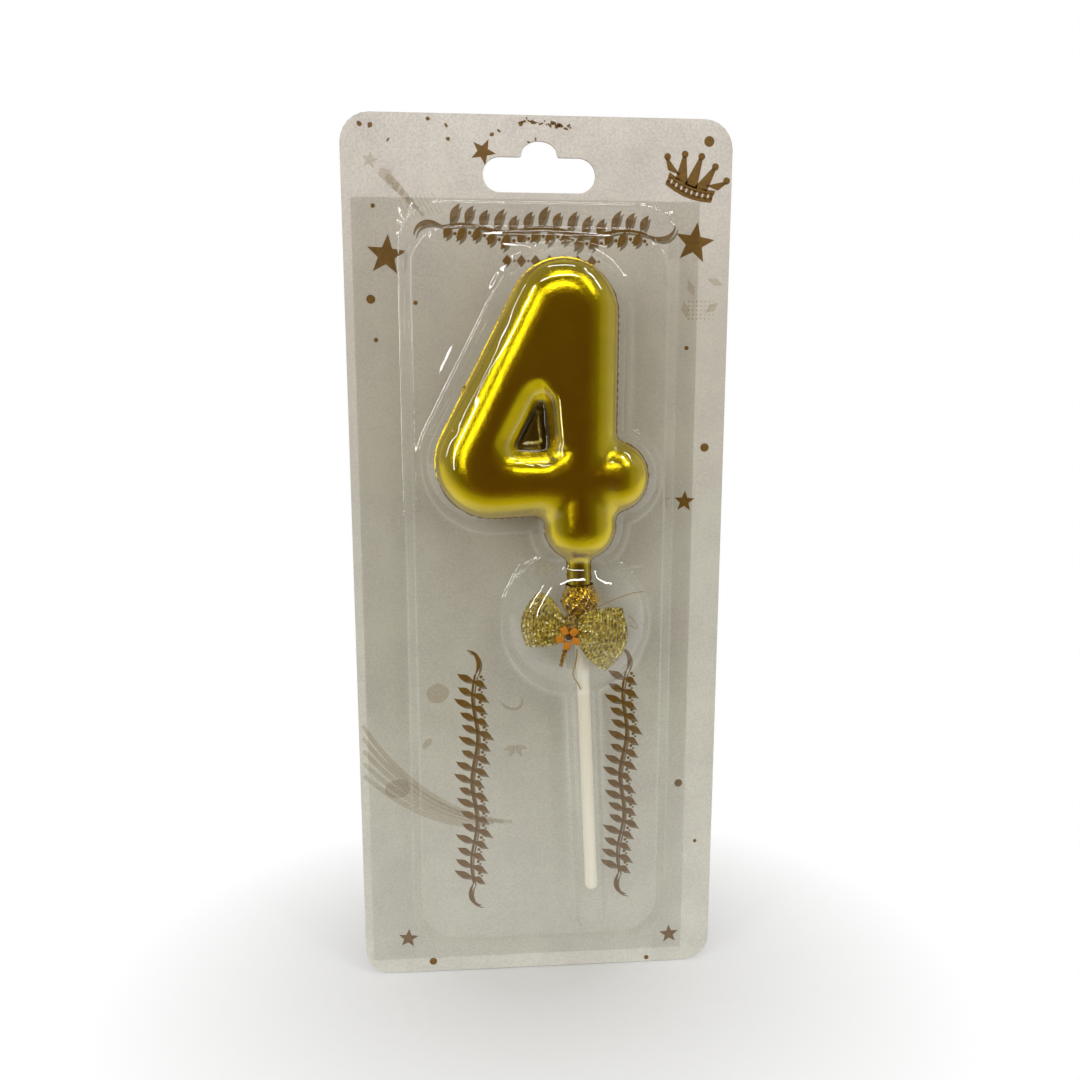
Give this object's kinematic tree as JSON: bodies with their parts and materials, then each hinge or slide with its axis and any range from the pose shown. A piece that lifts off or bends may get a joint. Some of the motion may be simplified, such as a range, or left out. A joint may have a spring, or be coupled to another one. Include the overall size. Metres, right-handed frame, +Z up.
{
  "type": "number cake topper in a blister pack",
  "caption": "Hollow gold figure 4 cake topper on a white stick with a ribbon bow, held under a clear formed blister on a printed hanging card.",
  "frame": {"origin": "middle of the hang slot, on the plane of the card's back face", "axes": "+Z up along the hanging card, +X to the right in the front view, -Y out of the card's printed front towards the viewer"},
  "size_m": [0.087, 0.0148, 0.2045],
  "materials": {
    "printed_card": "coated white board, printed in gold-brown on the front",
    "clear_film": "clear vacuum-formed film, glossy",
    "gold_plated_plastic": "moulded plastic with a mirror gold plating",
    "amber_film": "gathered metallised film, crinkled",
    "white_plastic": "off-white plastic, satin",
    "gold_ribbon": "metallic gold mesh ribbon",
    "tie_wire": "twisted gold and brown tie",
    "orange_tile": "small orange and amber decoration",
    "dark_seed": "dark brown decoration",
    "clear_tape": "clear tape end"
  },
  "bodies": {
    "card": {"backing_card": "printed_card"},
    "topper": {"number_front_shell": "gold_plated_plastic", "number_back_shell": "gold_plated_plastic", "collar": "amber_film", "stick": "white_plastic", "bow_loop_left": "gold_ribbon", "bow_loop_right": "gold_ribbon", "bow_knot": "gold_ribbon", "bow_tie": "tie_wire", "twisted_tail": "tie_wire", "flower_petal_1": "orange_tile", "flower_petal_2": "orange_tile", "flower_petal_3": "orange_tile", "flower_petal_4": "orange_tile", "flower_petal_5": "orange_tile", "flower_centre": "dark_seed", "clear_tie_end": "clear_tape", "loose_thread_1": "gold_ribbon", "loose_thread_2": "gold_ribbon", "loose_thread_3": "gold_ribbon"},
    "blister": {"blister": "clear_film"}
  },
  "joints": [
    {"name": "topper_lift", "type": "slide", "parent": "card", "child": "topper", "axis": [0, -1, 0], "range_m": [0, 0.05]},
    {"name": "blister_lift", "type": "slide", "parent": "topper", "child": "blister", "axis": [0, -1, 0], "range_m": [0, 0.06]}
  ]
}
